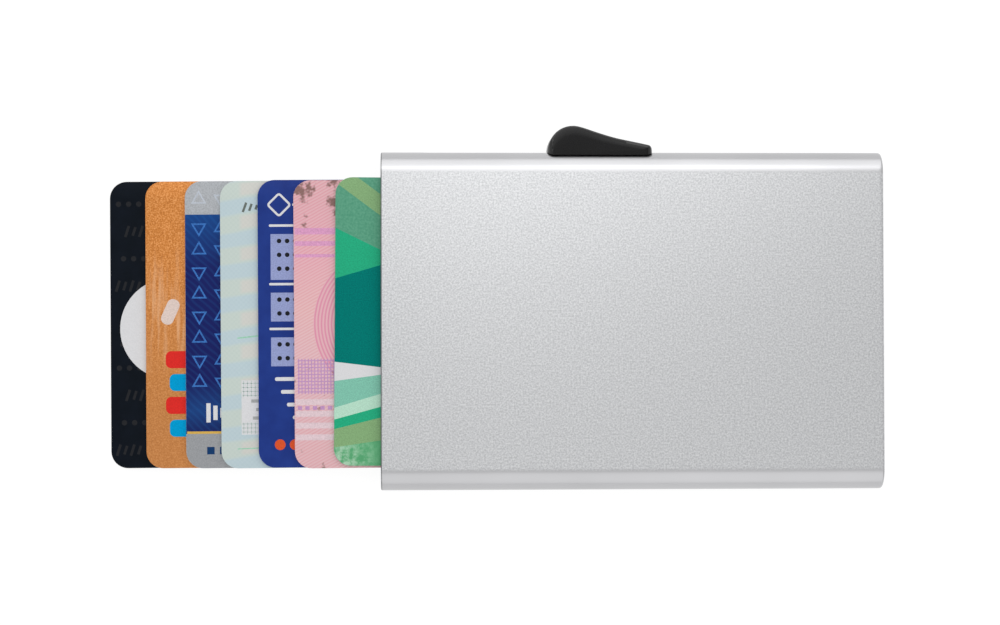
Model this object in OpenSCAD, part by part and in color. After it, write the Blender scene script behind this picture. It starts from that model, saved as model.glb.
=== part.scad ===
// Card holder: an extruded aluminium sleeve with a thumb slider that pushes a stack of
// cards out of its open end.
// It lies on its back. X runs along the sleeve from the open mouth to the closed end,
// Y across the cards towards the slider, Z up through the stack. The origin is the
// centre of the flat back face. Millimetres.

/* [Cards] */
// Card length
card_l = 85.6; // [80:0.1:92]
// Card height
card_w = 53.98; // [48:0.02:60]
// Card thickness
card_t = 0.76; // [0.6:0.02:0.9]
// Card corner radius
card_r = 3.18; // [2:0.02:4]
// Gap between neighbouring cards in the stack
card_gap = 0.02; // [0.01:0.01:0.06]
// Play of a card between the guides, on each side
card_play = 0.61; // [0.4:0.01:1]
// How far the front card stands out of the mouth
fan_first = 8.6; // [4:0.05:20]
// Step from one card to the next in the fan
fan_step = 7.05; // [3:0.1:8]

/* [Sleeve] */
// Wall of the aluminium extrusion
wall_t = 1.1; // [0.9:0.05:1.6]
// Depth of the side channel between the card bay and the wall
channel_d = 3.1; // [2.9:0.05:5]
// Half height of the flat strip along each rounded edge
side_flat = 0.3; // [0.1:0.05:1]
// How far a card lies inside the mouth when it is pushed home
mouth_recess = 0.3; // [0.1:0.1:2]
// Height of the four inner ribs
rib_h = 0.5; // [0.3:0.05:0.7]
// Width of the four inner ribs
rib_w = 0.5; // [0.3:0.05:0.7]
// Chamfer round the cut mouth
mouth_chamfer = 0.25; // [0.1:0.05:0.5]

/* [End cap] */
// Thickness of the plate that closes the sleeve
cap_t = 0.9; // [0.7:0.05:2]
// Rounding of the plate's outer rim
cap_round = 0.45; // [0.2:0.05:0.6]
// Depth of the plug behind the plate
collar_d = 0.8; // [0.5:0.05:3]

/* [Guides and pads] */
// Flange of a guide on each side of the ribs
guide_flange = 0.4; // [0.3:0.05:0.5]
// Guides start this far inside the mouth
guide_inset = 0.8; // [0.3:0.1:3]
// Thickness of the felt pads
pad_t = 0.35; // [0.2:0.05:0.8]
// Width of the felt pads along the sleeve
pad_l = 10; // [5:0.5:16]
// Length of the felt pads across the cards
pad_w = 48; // [30:0.5:50]
// Corner radius of the felt pads
pad_r = 1.5; // [0.5:0.1:2.4]
// Distance from the mouth to the felt pads
pad_inset = 3; // [1:0.1:12]
// Play between the stack and each felt pad
stack_play = 0.13; // [0.05:0.01:0.3]

/* [Thumb button] */
// Button length
button_l = 19.8; // [17:0.1:24]
// Height of the hump above the sleeve's edge
button_h = 4.9; // [3:0.1:8]
// Button width through the stack
button_w = 6; // [4.5:0.1:6.4]
// Rounding of the button's rim
button_rim = 0.4; // [0.2:0.05:0.6]
// Corner radius of the button seen from above
button_corner = 1.1; // [0.6:0.1:2]
// Distance from the mouth to the button at rest
button_inset = 31.35; // [30:0.05:36]
// Travel of the slider towards the mouth
travel = 26; // [10:0.5:27]
// Radius of the stem that passes through the slot
stem_r = 1; // [0.7:0.05:1.3]
// Radius of the two pegs below the stem
peg_r = 0.8; // [0.5:0.05:0.9]
// Distance from each end of the button to the peg beside it
peg_inset = 3.5; // [2.5:0.1:5]

/* [Slider runner] */
// Front end of the runner, behind the front end of the button
runner_inset = 1.4; // [0.5:0.1:2]
// Length of the thick shoe at the rear end
shoe_l = 8.4; // [7:0.1:12]
// Thickness of the friction spring's strip
spring_t = 0.15; // [0.1:0.01:0.25]
// Width of the friction spring
spring_w = 3.2; // [2:0.1:3.6]
// Length of the friction spring
spring_l = 8; // [5:0.1:8.6]
// Depth of the spring's seat in the runner
spring_seat = 0.45; // [0.3:0.05:0.6]

/* [Stepped pusher] */
// Height of each step, by which the cards are staggered when they are in
push_step = 0.7; // [0.3:0.05:1.5]
// Thickness of the pusher behind its lowest step
pusher_base = 2.6; // [1.2:0.1:4]
// Play behind the pusher at rest
end_play = 0.2; // [0.1:0.05:0.6]
// Number of coring pockets in the pusher's back
pocket_count = 6; // [2:1:8]
// Wall that is left round the coring pockets
pocket_wall = 1.1; // [0.8:0.1:1.6]
// Radius of the two pins that join pusher and runner
pin_r = 0.5; // [0.3:0.05:0.6]
// Thickness of the pusher's tongue
tongue_t = 3; // [2:0.1:3.4]
// Wall of the shoe at each end of the tongue
tongue_wall = 0.8; // [0.5:0.05:1.2]

/* [Clearances] */
// Gap of pieces that are fitted to each other for good
fit_clear = 0.06; // [0.02:0.01:0.1]
// Gap of pieces that slide
run_clear = 0.12; // [0.08:0.01:0.2]
// Radial gap of a pin or peg in its bore
pin_clear = 0.02; // [0.01:0.01:0.06]
// Gap left at each end of the travel
stop_clear = 0.1; // [0.05:0.01:0.3]

/* [Hidden] */

// Smoothness of round shapes
$fn = 64;
// Overrun of every cut past the face that it cuts
over = 1;

// Cards from the back of the stack to the front
CARD_COLORS = ["#16171b", "#c97f3a", "#1f3468", "#d5e6e0", "#26419a", "#eeb6bf", "#3c9a70"];
card_n = len(CARD_COLORS);
// How far each card lies off the even fan, as shares of one fan step
fan_off_shares = [0, 0.05, -0.015, 0.04, 0.04, 0.08, 0];
// How far each card lies askew and low in the bay, as shares of its play
skew_shares = [0.48, 0.41, 0.48, 0.48, 0.37, 0.43, -0.48];
drop_shares = [0.5, 0.57, 0.5, 0.5, 0.38, 0.5, 0.5];
card_pitch = card_t + card_gap;
stack_t = card_n * card_pitch - card_gap;

// The bay is as thick as the stack with its pads, and the sleeve goes round it
bay_t = stack_t + 2 * (pad_t + stack_play);
body_t = bay_t + 2 * wall_t;
mid_z = body_t / 2;
stack_z = wall_t + pad_t + stack_play;
bay_half = card_w / 2 + card_play;
inner_half = bay_half + channel_d;
body_half = inner_half + wall_t;
outer_r = mid_z - side_flat;

// Along the sleeve, counted from the mouth
step_in = mouth_recess + card_l;
pusher_back = step_in + (card_n - 1) * push_step + pusher_base;
bay_l = pusher_back + end_play;
body_l = bay_l + collar_d + cap_t;
mouth_x = -body_l / 2;

// Across the sleeve, from the bay outwards: guide, rib, guide, runner
rib_y = bay_half + guide_flange + fit_clear + rib_w / 2;
guide_out = rib_y + rib_w / 2 + fit_clear + guide_flange;
runner_in = guide_out + run_clear;
runner_out = inner_half - run_clear;

// The button's pegs and stem, and the slot that they run in
peg_near = button_inset + peg_inset;
peg_far = button_inset + button_l - peg_inset;
slot_half = stem_r + run_clear;
slot_near = peg_near - travel - stem_r - stop_clear;
slot_far = peg_far + stem_r + stop_clear;
stem_low = runner_out + fit_clear;
peg_low = runner_in + spring_seat;

// The button's outline: corners of its curves, as shares of its length and height
hump_shares = [[0, 0], [0, 0.45], [0.088, 1], [0.245, 1]];
ramp_shares = [[0.245, 1], [0.325, 1], [0.422, 0.778], [0.651, 0.534]];
tail_shares = [[0.651, 0.534], [0.699, 0.483], [0.853, 0.364], [0.964, 0.264]];
toe_shares = [[0.964, 0.264], [0.982, 0.247], [1, 0.18], [1, 0]];
// How far the button's skirt is drawn into the sleeve before it is cut to its round
skirt = 1.6 * wall_t;
// Steps along each curve and round the rim
curve_steps = 12;
rim_steps = 4;

// The shoe of the runner and the tongue of the pusher in it
shoe_x = mouth_x + pusher_back - shoe_l;
tongue_l = shoe_l - 2 * tongue_wall;
tongue_high = runner_in;
pin_y = (bay_half + tongue_high) / 2 + run_clear;
pin_half = bay_t / 2 - rib_h - 2 * run_clear - fit_clear;
pusher_half = bay_half - run_clear;

// Length of the friction spring's arc, from its chord and its rise
spring_rise = spring_seat + run_clear - 2 * fit_clear - spring_t;
spring_bend = (spring_l * spring_l / 4 + spring_rise * spring_rise) / (2 * spring_rise);

// A rectangle with rounded corners, centred
module rounded(w, h, r) {
    square([w - 2 * r, h], center = true);
    square([w, h - 2 * r], center = true);
    for (i = [-1, 1], j = [-1, 1])
        translate([i * (w / 2 - r), j * (h / 2 - r)])
            circle(r);
}

// A slot's outline with round ends, centred
module stadium(l, w) {
    square([l - w, w], center = true);
    for (i = [-1, 1])
        translate([i * (l - w) / 2, 0])
            circle(w / 2);
}

// The sleeve's section, grown or shrunk alike all round
module section(grow) {
    translate([0, mid_z])
        rounded(2 * (body_half + grow), 2 * (mid_z + grow), outer_r + grow);
}

// The four ribs in the section, grown by a gap
module ribs(gap) {
    for (i = [-1, 1], j = [-1, 1])
        translate([i * rib_y, mid_z + j * bay_t / 2])
            square([rib_w + 2 * gap, 2 * (rib_h + gap)], center = true);
}

// The hollow of the section between two distances from the middle, on the +Y side
module channel(low, high, gap) {
    difference() {
        intersection() {
            section(-wall_t - gap);
            translate([low, 0])
                square([high - low, body_t]);
        }
        ribs(gap);
    }
}

// Draws a section, given in Y and Z, along X from one distance from the mouth to another
module along(from, to) {
    translate([mouth_x + from, 0, 0])
        rotate([90, 0, 90])
            linear_extrude(to - from)
                children();
}

// Draws an outline, given in X and Z, along Y
module across(from, to) {
    translate([0, to, 0])
        rotate([90, 0, 0])
            linear_extrude(to - from)
                children();
}

// A bar of the sleeve's section whose rim is bevelled or rounded at the end x = 0.
// Its children are the bevelled half outline of a strip: x along the bar, y outwards.
module rimmed_bar(l, rim, round) {
    for (j = [-1, 1])
        translate([0, 0, mid_z])
            mirror([0, 0, j < 0 ? 1 : 0])
                rotate([90, 0, 0])
                    linear_extrude(2 * (body_half - outer_r), center = true)
                        half_outline(l, mid_z, rim, round);
    for (i = [-1, 1])
        mirror([0, i < 0 ? 1 : 0, 0])
            translate([0, 0, mid_z])
                linear_extrude(2 * side_flat, center = true)
                    half_outline(l, body_half, rim, round);
    for (i = [-1, 1], j = [-1, 1])
        translate([0, i * (body_half - outer_r), mid_z + j * side_flat])
            rotate([0, 90, 0])
                rotate_extrude()
                    rotate(90)
                        mirror([0, 1])
                            half_outline(l, outer_r, rim, round);
}

// Half of a bar's outline, with its rim at the low end broken
module half_outline(l, h, rim, round) {
    polygon([[0, 0], [l, 0], [l, h], [rim, h], [0, h - rim]]);
    if (round)
        intersection() {
            translate([0, h - rim])
                square(rim);
            translate([rim, h - rim])
                circle(rim);
        }
}

module housing() {
    color("#c9cacc")
        difference() {
            translate([mouth_x, 0, 0])
                rimmed_bar(body_l - cap_t, mouth_chamfer, false);
            along(-over, body_l - cap_t + over)
                difference() {
                    section(-wall_t);
                    ribs(0);
                }
            slot();
        }
}

// The slot in the sleeve's edge
module slot() {
    across(inner_half - over, body_half + over)
        translate([mouth_x + (slot_near + slot_far) / 2, mid_z])
            stadium(slot_far - slot_near, 2 * slot_half);
}

module end_cap() {
    color("#bfc0c2") {
        translate([body_l / 2, 0, 0])
            mirror([1, 0, 0])
                rimmed_bar(cap_t, cap_round, true);
        along(bay_l, bay_l + collar_d)
            difference() {
                section(-wall_t - fit_clear);
                ribs(fit_clear);
            }
    }
}

module upper_guide_strip() {
    color("#2a2b2d")
        along(guide_inset, pusher_back - shoe_l - travel - stop_clear)
            channel(bay_half, guide_out, fit_clear);
}

module lower_guide_rail() {
    color("#2a2b2d")
        along(guide_inset, bay_l - fit_clear)
            mirror([1, 0])
                channel(bay_half, inner_half, fit_clear);
}

module felt_pad() {
    translate([mouth_x + pad_inset + pad_l / 2, 0, 0])
        linear_extrude(pad_t)
            rounded(pad_l, pad_w, pad_r);
}

module back_felt_pad() {
    color("#3a3a3c")
        translate([0, 0, wall_t])
            felt_pad();
}

module front_felt_pad() {
    color("#3a3a3c")
        translate([0, 0, body_t - wall_t - pad_t])
            felt_pad();
}

// A point on a cubic curve
function curve_at(p, t) =
    pow(1 - t, 3) * p[0] + 3 * t * pow(1 - t, 2) * p[1] + 3 * t * t * (1 - t) * p[2] + pow(t, 3) * p[3];

// The points along a cubic curve, without its last
function curve(p) = [for (i = [0 : curve_steps - 1]) curve_at(p, i / curve_steps)];

// The button's outline, clockwise from its front foot
function button_outline() = [
    [0, -skirt],
    for (p = concat(curve(hump_shares), curve(ramp_shares), curve(tail_shares), curve(toe_shares)))
        [p[0] * button_l, p[1] * button_h],
    [button_l, 0],
    [button_l, -skirt]
];

// The outline drawn in by a distance, along the normal at each point
function drawn_in(pts, d) = [
    for (i = [0 : len(pts) - 1])
        let (
            run = pts[(i + 1) % len(pts)] - pts[(i + len(pts) - 1) % len(pts)],
            unit = run / norm(run)
        )
        pts[i] + d * [unit[1], -unit[0]]
];

// The button's body: its outline lofted through the width, with a rounded rim on both sides
module button_body() {
    outline = button_outline();
    n = len(outline);
    turns = [for (i = [0 : rim_steps]) 90 * i / rim_steps];
    low_rings = [for (a = turns) [button_rim * (1 - sin(a)), -button_w / 2 + button_rim * (1 - cos(a))]];
    high_rings = [for (i = [rim_steps : -1 : 0]) [low_rings[i][0], -low_rings[i][1]]];
    rings = concat(low_rings, high_rings);
    points = [for (ring = rings) for (p = drawn_in(outline, ring[0])) [p[0], p[1], ring[1]]];
    sides = [
        for (k = [0 : len(rings) - 2], i = [0 : n - 1])
            let (j = (i + 1) % n, a = k * n, b = (k + 1) * n)
            each [[a + i, b + j, b + i], [a + i, a + j, b + j]]
    ];
    caps = [[for (i = [n - 1 : -1 : 0]) i], [for (i = [0 : n - 1]) (len(rings) - 1) * n + i]];
    polyhedron(points, concat(sides, caps));
}

module thumb_button() {
    color("#1b1b1d") {
        difference() {
            intersection() {
                translate([mouth_x + button_inset, body_half, mid_z])
                    button_body();
                across(body_half - 2 * skirt, body_half + button_h + over)
                    translate([mouth_x + button_inset + button_l / 2, mid_z])
                        rounded(button_l, button_w, button_corner);
            }
            along(button_inset - over, button_inset + button_l + over)
                section(run_clear);
        }
        across(stem_low, body_half + run_clear + fit_clear)
            translate([mouth_x + (peg_near + peg_far) / 2, mid_z])
                stadium(peg_far - peg_near + 2 * stem_r, 2 * stem_r);
        for (peg = [peg_near, peg_far])
            across(peg_low, body_half)
                translate([mouth_x + peg, mid_z])
                    circle(peg_r);
    }
}

module slider_runner() {
    color("#303134")
        difference() {
            union() {
                along(button_inset + runner_inset, pusher_back)
                    channel(runner_in, inner_half, run_clear);
                along(pusher_back - shoe_l, pusher_back)
                    channel(bay_half + run_clear, inner_half, run_clear);
            }
            for (peg = [peg_near, peg_far])
                across(bay_half, body_half)
                    translate([mouth_x + peg, mid_z])
                        circle(peg_r + pin_clear);
            translate([mouth_x + (peg_near + peg_far) / 2, runner_in, mid_z])
                cube([spring_l + 2 * fit_clear, 2 * spring_seat, spring_w + 2 * fit_clear], center = true);
            translate([shoe_x + tongue_wall - fit_clear, 0, mid_z - tongue_t / 2 - fit_clear])
                cube([tongue_l + 2 * fit_clear, tongue_high + fit_clear, tongue_t + 2 * fit_clear]);
            pins(pin_clear, bay_t);
        }
}

// The two pins through shoe and tongue, grown by a gap
module pins(gap, half) {
    for (share = [0.25, 0.75])
        translate([shoe_x + tongue_wall + share * tongue_l, pin_y, mid_z])
            cylinder(r = pin_r + gap, h = 2 * half, center = true);
}

module pusher_pins() {
    color("#b9bbbe")
        pins(0, pin_half);
}

// A bowed leaf spring whose ends lie in the runner's seat
module runner_spring() {
    color("#c4c6c8")
        translate([mouth_x + (peg_near + peg_far) / 2, guide_out + fit_clear + spring_bend, mid_z])
            linear_extrude(spring_w, center = true)
                intersection() {
                    difference() {
                        circle(spring_bend, $fn = 256);
                        circle(spring_bend - spring_t, $fn = 256);
                    }
                    translate([-spring_l / 2, -2 * spring_bend])
                        square([spring_l, 2 * spring_bend]);
                }
}

// The staircase seen along Y, with one step behind each card
module pusher_steps() {
    back = mouth_x + pusher_back;
    low = stack_z - stack_play + fit_clear;
    high = stack_z + stack_t + stack_play - fit_clear;
    stairs = [
        for (k = [0 : card_n - 1])
            let (
                face = mouth_x + step_in + k * push_step,
                foot = k == 0 ? low : stack_z + k * card_pitch - card_gap / 2,
                head = k == card_n - 1 ? high : stack_z + (k + 1) * card_pitch - card_gap / 2
            )
            each [[face, foot], [face, head]]
    ];
    polygon(concat([[back, low]], stairs, [[back, high]]));
}

module stepped_pusher() {
    pocket_span = (pusher_half + bay_half - pocket_wall) / pocket_count;
    pocket_low = stack_z + pocket_wall / 2;
    pocket_high = stack_z + floor(card_n / 2) * card_pitch;
    pocket_d = pusher_base + (card_n - 1 - floor(card_n / 2)) * push_step - pocket_wall;
    color("#3b3c40")
        difference() {
            union() {
                across(-pusher_half, bay_half)
                    pusher_steps();
                translate([shoe_x + tongue_wall, bay_half, mid_z - tongue_t / 2])
                    cube([tongue_l, tongue_high - bay_half, tongue_t]);
            }
            for (i = [0 : pocket_count - 1])
                translate([mouth_x + pusher_back - pocket_d, pocket_wall - pusher_half + i * pocket_span, pocket_low])
                    cube([pocket_d + over, pocket_span - pocket_wall, pocket_high - pocket_low]);
            pins(pin_clear, bay_t);
        }
}

// One card of the fan, counted from the back of the stack
module card(k) {
    out = fan_first + (card_n - 1 - k + fan_off_shares[k]) * fan_step;
    skew = asin(skew_shares[k] * card_play / (card_l / 2));
    color(CARD_COLORS[k])
        translate([mouth_x - out + card_l / 2, -drop_shares[k] * card_play, stack_z + k * card_pitch])
            rotate(skew)
                linear_extrude(card_t)
                    rounded(card_l, card_w, card_r);
}

housing();
end_cap();
upper_guide_strip();
lower_guide_rail();
front_felt_pad();
back_felt_pad();
thumb_button();
slider_runner();
runner_spring();
stepped_pusher();
pusher_pins();
card(0);  // black_card
card(1);  // orange_card
card(2);  // navy_card
card(3);  // pale_card
card(4);  // blue_card
card(5);  // pink_card
card(6);  // green_card
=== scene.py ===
# %% [markdown]
# # A card holder with a fan of seven cards
# The real thing is an aluminium sleeve, pressed as one long extrusion, closed at one end by
# a plate and open at the other. A black slider on its edge pushes a stack of cards out of
# the mouth as a fan. This lesson gives the finished CAD model its looks: it loads the CAD
# parts as a fixed frame, rebuilds what the camera sees with smooth shapes, and makes each
# finish out of shader nodes.

# %% Load the frame
import math

import bmesh
import bpy
from mathutils import Matrix, Vector, noise
from mathutils.geometry import interpolate_bezier


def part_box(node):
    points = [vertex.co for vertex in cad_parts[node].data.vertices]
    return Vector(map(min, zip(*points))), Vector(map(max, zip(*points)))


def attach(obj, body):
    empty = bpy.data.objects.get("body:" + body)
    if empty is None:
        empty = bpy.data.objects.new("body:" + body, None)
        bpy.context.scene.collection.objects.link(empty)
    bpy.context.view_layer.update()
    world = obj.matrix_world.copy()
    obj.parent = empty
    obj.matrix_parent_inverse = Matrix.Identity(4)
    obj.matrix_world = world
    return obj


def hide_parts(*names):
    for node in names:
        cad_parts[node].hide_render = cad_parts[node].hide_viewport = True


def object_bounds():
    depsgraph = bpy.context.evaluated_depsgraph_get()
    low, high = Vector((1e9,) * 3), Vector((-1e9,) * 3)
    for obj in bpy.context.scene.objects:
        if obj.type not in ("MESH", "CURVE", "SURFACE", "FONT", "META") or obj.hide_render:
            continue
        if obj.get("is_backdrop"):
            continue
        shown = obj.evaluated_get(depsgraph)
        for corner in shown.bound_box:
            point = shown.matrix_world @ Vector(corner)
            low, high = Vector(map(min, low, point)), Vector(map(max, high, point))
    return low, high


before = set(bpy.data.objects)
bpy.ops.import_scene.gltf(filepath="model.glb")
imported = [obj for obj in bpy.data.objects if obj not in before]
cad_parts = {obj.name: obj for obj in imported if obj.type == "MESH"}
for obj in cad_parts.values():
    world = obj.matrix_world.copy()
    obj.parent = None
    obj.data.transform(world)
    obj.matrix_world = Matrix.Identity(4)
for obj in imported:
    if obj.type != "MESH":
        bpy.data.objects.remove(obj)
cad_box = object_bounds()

print("The frame has these parts:", ", ".join(sorted(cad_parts)))

# %% [markdown]
# ## Millimetres, colours and nodes
# Blender works in metres, but the pieces here are a few millimetres thick. Shapes are drawn
# in millimetres and turned to metres at the end. Colours are written as the sRGB codes that
# a screen shows, and one function turns them to the linear values that a renderer adds up.

# %% Units and colours
MM = 0.001
scene = bpy.context.scene


def box_mm(node):
    """The lowest and highest corner of a CAD part, in millimetres."""
    low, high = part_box(node)
    return low / MM, high / MM


def srgb(code):
    """The linear colour of an sRGB hex code."""
    shares = [int(code[i:i + 2], 16) / 255 for i in (1, 3, 5)]
    linear = [s / 12.92 if s <= 0.04045 else ((s + 0.055) / 1.055) ** 2.4 for s in shares]
    return (*linear, 1.0)


print("Mid grey in linear light:", round(srgb("#808080")[0], 3))

# %% [markdown]
# A material is a small network of nodes. One function fills a node's inputs, each with a
# value, a named output of another node, or a whole node, which then gives its first output.
# A second one adds a node of any kind, with its options and inputs.

# %% Nodes and materials


def fill(tree, node, inputs):
    """Gives each input of a node its value, or a link from another node."""
    for name, value in inputs.items():
        if isinstance(value, bpy.types.Node):
            value = next(output for output in value.outputs if output.enabled)
        if isinstance(value, bpy.types.NodeSocket):
            tree.links.new(value, node.inputs[name])
        else:
            node.inputs[name].default_value = value


def add(tree, kind, inputs=None, stops=(), **options):
    """Adds a node with its options, its inputs and a ramp's stops, a place and a colour each."""
    made = tree.nodes.new("ShaderNode" + kind)
    for option, value in options.items():
        setattr(made, option, value)
    for i, (place, code) in enumerate(stops):
        stop = made.color_ramp.elements[i] if i < 2 else made.color_ramp.elements.new(1.0)
        stop.position, stop.color = place, srgb(code)
    fill(tree, made, inputs or {})
    return made


def new_material(name):
    """A new material, its node tree and its shader."""
    made = bpy.data.materials.new(name)
    made.use_nodes = True
    return made, made.node_tree, made.node_tree.nodes["Principled BSDF"]


print("Helpers are ready")

# %% [markdown]
# ## Camera
# The photograph looks almost straight down on the holder from a little under half a metre.
# The camera's place and small tilts were fitted to the sleeve's outline and the cards' edges.

# %% Camera
IMAGE_W = 1000
focal_px = 2249.8
sensor_mm = 36
camera_place = Vector((-40.66, -6.25, 428.6))
camera_tilts = {"Y": -2.133, "X": 1.061, "Z": -0.122}

camera_data = bpy.data.cameras.new("camera")
camera_data.sensor_width = sensor_mm
camera_data.lens = sensor_mm * focal_px / IMAGE_W
camera = bpy.data.objects.new("camera", camera_data)
turned = Matrix.Identity(4)
for axis, degrees in camera_tilts.items():
    turned = turned @ Matrix.Rotation(math.radians(degrees), 4, axis)
camera.matrix_world = Matrix.Translation(camera_place * MM) @ turned
scene.collection.objects.link(camera)
scene.camera = camera
scene.view_settings.view_transform = "Standard"
print("Lens:", round(camera_data.lens, 1), "mm")

# %% [markdown]
# ## Light and floor
# Metal looks like what it reflects. The photograph shows a bright wall of light behind the
# sleeve's upper edge, a weaker one below its lower edge, and more light from the upper left.
# Three large lamps in those places and an even grey world give the same bands and the same
# soft fall across the flat face.

# %% World and lamps
WHITE = (1, 1, 1, 1)
world_strength = 0.68

world = bpy.data.worlds.new("studio")
scene.world = world
world.use_nodes = True
fill(world.node_tree, world.node_tree.nodes["Background"], {"Color": WHITE, "Strength": world_strength})


def softbox(name, place, aim, width, height, brightness):
    """A large lamp at a place, turned to an aim, all in metres. Brightness 1 looks white."""
    data = bpy.data.lights.new(name, "AREA")
    data.shape = "RECTANGLE"
    data.size = width
    data.size_y = height
    data.energy = brightness * math.pi * width * height
    lamp = bpy.data.objects.new(name, data)
    lamp.location = place
    lamp.rotation_euler = (Vector(aim) - Vector(place)).to_track_quat("-Z", "Y").to_euler()
    lamp.visible_camera = False
    scene.collection.objects.link(lamp)


softbox("wall_above", (-0.14, 1.0, 0.75), (0, 0, 0.1), 2.5, 1.35, 0.97)
softbox("wall_below", (0, -1.0, 0.8), (0, 0, 0.1), 2.4, 1.7, 0.56)
softbox("upper_left", (-0.2, 0.6, 1.3), (0, 0, 0), 1.2, 0.8, 1.15)

# %% [markdown]
# The floor is a plain pale sheet a hair below the sleeve, so that no two faces share one
# plane. Rays from the camera, and rays that mirror off the metal, mostly see it as white, so
# that the background is clean and a soft shadow stays.

# %% Floor
FLOOR_HALF = 3.0
floor_drop = 0.05
floor_share = 0.88
floor_strength = 1.05

floor_mesh = bmesh.new()
bmesh.ops.create_grid(floor_mesh, x_segments=1, y_segments=1, size=FLOOR_HALF)
bmesh.ops.translate(floor_mesh, vec=(0, 0, -floor_drop * MM), verts=floor_mesh.verts)
floor_data = bpy.data.meshes.new("floor")
floor_mesh.to_mesh(floor_data)
floor_mesh.free()
floor = bpy.data.objects.new("floor", floor_data)
scene.collection.objects.link(floor)
floor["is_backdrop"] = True

floor_paint, tree, shader = new_material("matt_white_paper")
fill(tree, shader, {"Base Color": srgb("#f4f4f4"), "Roughness": 0.9, "Specular IOR Level": 0.2})
path = add(tree, "LightPath")
seen = add(tree, "Math", {0: path.outputs["Is Camera Ray"], 1: path.outputs["Is Glossy Ray"]},
    operation="MAXIMUM")
seen = add(tree, "Math", {0: seen, 1: path.outputs["Is Transmission Ray"]}, operation="MAXIMUM")
share = add(tree, "Math", {0: seen, 1: floor_share}, operation="MULTIPLY")
white = add(tree, "Emission", {"Color": WHITE, "Strength": floor_strength})
both = add(tree, "MixShader", {0: share, 1: shader, 2: white})
fill(tree, tree.nodes["Material Output"], {"Surface": both})
floor_data.materials.append(floor_paint)
print("Floor:", 2 * FLOOR_HALF, "m wide")

# %% [markdown]
# ## From a bmesh to a piece
# Every piece is drawn as a bmesh, Blender's editable mesh. When it is done, its doubles are
# merged, its faces are turned outwards, it becomes an object at the origin, and it rides on
# the CAD body that it belongs to. Edges sharper than a set angle stay sharp, and the rest is
# shaded smooth.

# %% Pieces
WELD = 0.0004


def piece(bm, name, materials, body, *nodes, crease=35):
    """Makes a bmesh in millimetres a piece that rides on a body and stands for CAD parts."""
    bmesh.ops.remove_doubles(bm, verts=bm.verts, dist=WELD)
    bmesh.ops.recalc_face_normals(bm, faces=bm.faces)
    bmesh.ops.scale(bm, vec=(MM, MM, MM), verts=bm.verts)
    mesh = bpy.data.meshes.new(name)
    bm.to_mesh(mesh)
    bm.free()
    for material in materials:
        mesh.materials.append(material)
    mesh.shade_smooth()
    mesh.set_sharp_from_angle(angle=math.radians(crease))
    made = bpy.data.objects.new(name, mesh)
    scene.collection.objects.link(made)
    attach(made, body)
    if nodes:
        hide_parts(*nodes)
    print(name, "has", len(mesh.polygons), "faces")
    return made


def sheet(x, y, parts_x=1, parts_y=1):
    """A flat rectangle round the origin, as a new bmesh."""
    bm = bmesh.new()
    bmesh.ops.create_grid(bm, x_segments=parts_x, y_segments=parts_y, size=0.5)
    bmesh.ops.scale(bm, vec=(x, y, 1), verts=bm.verts)
    return bm


def round_off(bm, geom, affect, size, steps):
    """Rounds the given corners of flat faces, or the given edges."""
    return bmesh.ops.bevel(bm, geom=geom, affect=affect, offset=size, offset_type="OFFSET", segments=steps,
        profile=0.5, material=-1)


def extrude(bm, faces, vec):
    """Extrudes faces, and moves the new ones by a vector."""
    grown = bmesh.ops.extrude_face_region(bm, geom=faces)
    moved = [v for v in grown["geom"] if isinstance(v, bmesh.types.BMVert)]
    bmesh.ops.translate(bm, vec=vec, verts=moved)


def slice_at(bm, point, normal):
    """Cuts all faces along a plane, and keeps both sides."""
    bmesh.ops.bisect_plane(bm, geom=bm.verts[:] + bm.edges[:] + bm.faces[:], dist=0.0001, plane_co=point,
        plane_no=normal)


def plate(low, high, radius, steps):
    """A slab between two corners, with its four upright edges rounded."""
    low, high = Vector(low), Vector(high)
    size = high - low
    bm = sheet(size.x, size.y)
    round_off(bm, bm.verts[:], "VERTICES", radius, steps)
    extrude(bm, bm.faces[:], (0, 0, size.z))
    bmesh.ops.translate(bm, vec=((low.x + high.x) / 2, (low.y + high.y) / 2, low.z), verts=bm.verts)
    return bm


print("Doubles are merged within", WELD, "mm")

# %% [markdown]
# ## The aluminium
# The sleeve is anodised aluminium. Its two flat faces were blasted with fine beads, which gives them a pale
# sparkling grain, while the rounded long edges stay smooth and show bands of light. The smooth edges get a
# darker colour than the flats, a painted shade that darkens what they reflect. The grain is a noise of a
# third of a millimetre, about twice as coarse as the real one, which would be lost in the picture. Two
# masks fade it out where the rounding begins and below the two faces, so that the end plate stays satin.

# %% Anodised aluminium
sleeve_low, sleeve_high = box_mm("housing")
round_r = 4.0
flat_half = sleeve_high.y - round_r
middle_z = (sleeve_low.z + sleeve_high.z) / 2
grain_mm = 0.33
cloud_mm = 14


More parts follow.
